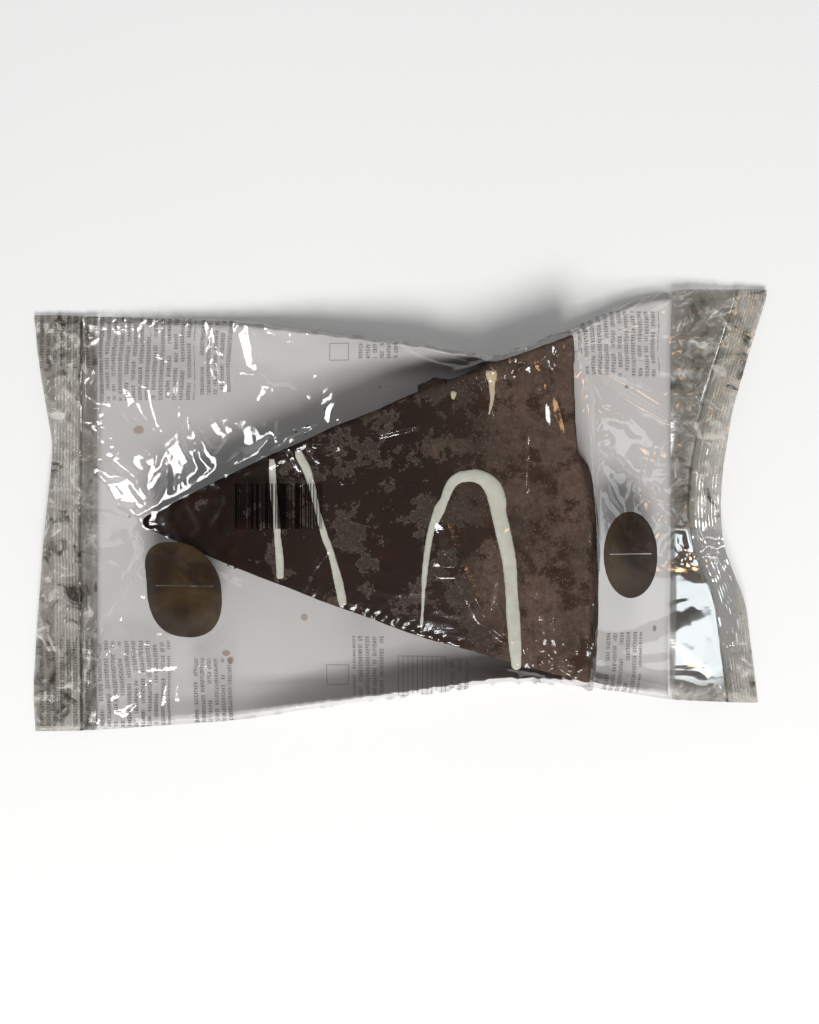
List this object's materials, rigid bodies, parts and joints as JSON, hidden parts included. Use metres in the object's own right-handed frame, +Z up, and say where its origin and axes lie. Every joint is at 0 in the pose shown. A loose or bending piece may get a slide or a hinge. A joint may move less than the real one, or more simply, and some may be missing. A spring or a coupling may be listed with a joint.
{
  "type": "packed brownie slice",
  "caption": "Wedge of chocolate-coated brownie with white drizzle, lying on a white card in a clear film pack with a ribbed heat seal at each end.",
  "frame": {"origin": "on the surface the pack lies on, under the middle of its outer box", "axes": "+X along the pack, from the wedge's tip to its wide end; +Y across it; +Z up"},
  "size_m": [0.2694, 0.1622, 0.0266],
  "materials": {
    "clear_film": "clear wrapping film, glossy and lightly creased, with small grey and brown print",
    "chocolate": "dark chocolate coating, smooth towards the tip, dull and mottled with bloom towards the base",
    "white_chocolate": "white chocolate drizzle, set and slightly waxy",
    "card": "white uncoated board, with a few grease and chocolate smudges"
  },
  "bodies": {
    "root": {"sealed_pack": "clear_film"}
  },
  "joints": []
}
